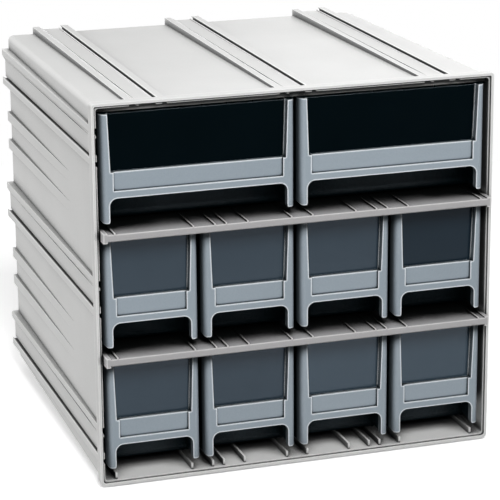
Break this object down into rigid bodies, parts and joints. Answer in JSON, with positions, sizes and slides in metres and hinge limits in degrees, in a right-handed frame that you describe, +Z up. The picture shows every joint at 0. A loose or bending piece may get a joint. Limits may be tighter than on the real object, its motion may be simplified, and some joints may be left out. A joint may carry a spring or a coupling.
{
  "type": "parts bin cabinet",
  "caption": "Moulded interlocking cabinet for small parts: an open-fronted ribbed housing, two slide-in shelves, and wide and narrow drawers with dark windows.",
  "frame": {"origin": "middle of the plane that the three base tongues stand on, halfway between the front rim and the back", "axes": "+X to the right seen from the front, +Y from the front to the back, +Z up"},
  "size_m": [0.3, 0.293, 0.2809],
  "materials": {
    "housing_plastic": "fine matt moulded surface",
    "shelf_plastic": "fine matt moulded surface",
    "drawer_plastic": "satin moulded surface",
    "window": "smoked, glossy",
    "dark_window": "dark smoked, glossy"
  },
  "bodies": {
    "cabinet": {"housing": "housing_plastic", "shelf_upper": "shelf_plastic", "shelf_lower": "shelf_plastic"},
    "wide_left_bin": {"drawer_wide_left": "drawer_plastic", "window_wide_left": "dark_window"},
    "wide_right_bin": {"drawer_wide_right": "drawer_plastic", "window_wide_right": "dark_window"},
    "mid_1_bin": {"drawer_mid_1": "drawer_plastic", "window_mid_1": "window"},
    "mid_2_bin": {"drawer_mid_2": "drawer_plastic", "window_mid_2": "window"},
    "mid_3_bin": {"drawer_mid_3": "drawer_plastic", "window_mid_3": "window"},
    "mid_4_bin": {"drawer_mid_4": "drawer_plastic", "window_mid_4": "window"},
    "low_1_bin": {"drawer_low_1": "drawer_plastic", "window_low_1": "window"},
    "low_2_bin": {"drawer_low_2": "drawer_plastic", "window_low_2": "window"},
    "low_3_bin": {"drawer_low_3": "drawer_plastic", "window_low_3": "window"},
    "low_4_bin": {"drawer_low_4": "drawer_plastic", "window_low_4": "window"}
  },
  "joints": [
    {"name": "wide_left_slide", "type": "slide", "parent": "cabinet", "child": "wide_left_bin", "axis": [0, -1, 0], "range_m": [0, 0.235]},
    {"name": "wide_right_slide", "type": "slide", "parent": "cabinet", "child": "wide_right_bin", "axis": [0, -1, 0], "range_m": [0, 0.235]},
    {"name": "mid_1_slide", "type": "slide", "parent": "cabinet", "child": "mid_1_bin", "axis": [0, -1, 0], "range_m": [0, 0.235]},
    {"name": "mid_2_slide", "type": "slide", "parent": "cabinet", "child": "mid_2_bin", "axis": [0, -1, 0], "range_m": [0, 0.235]},
    {"name": "mid_3_slide", "type": "slide", "parent": "cabinet", "child": "mid_3_bin", "axis": [0, -1, 0], "range_m": [0, 0.235]},
    {"name": "mid_4_slide", "type": "slide", "parent": "cabinet", "child": "mid_4_bin", "axis": [0, -1, 0], "range_m": [0, 0.235]},
    {"name": "low_1_slide", "type": "slide", "parent": "cabinet", "child": "low_1_bin", "axis": [0, -1, 0], "range_m": [0, 0.235]},
    {"name": "low_2_slide", "type": "slide", "parent": "cabinet", "child": "low_2_bin", "axis": [0, -1, 0], "range_m": [0, 0.235]},
    {"name": "low_3_slide", "type": "slide", "parent": "cabinet", "child": "low_3_bin", "axis": [0, -1, 0], "range_m": [0, 0.235]},
    {"name": "low_4_slide", "type": "slide", "parent": "cabinet", "child": "low_4_bin", "axis": [0, -1, 0], "range_m": [0, 0.235]}
  ]
}
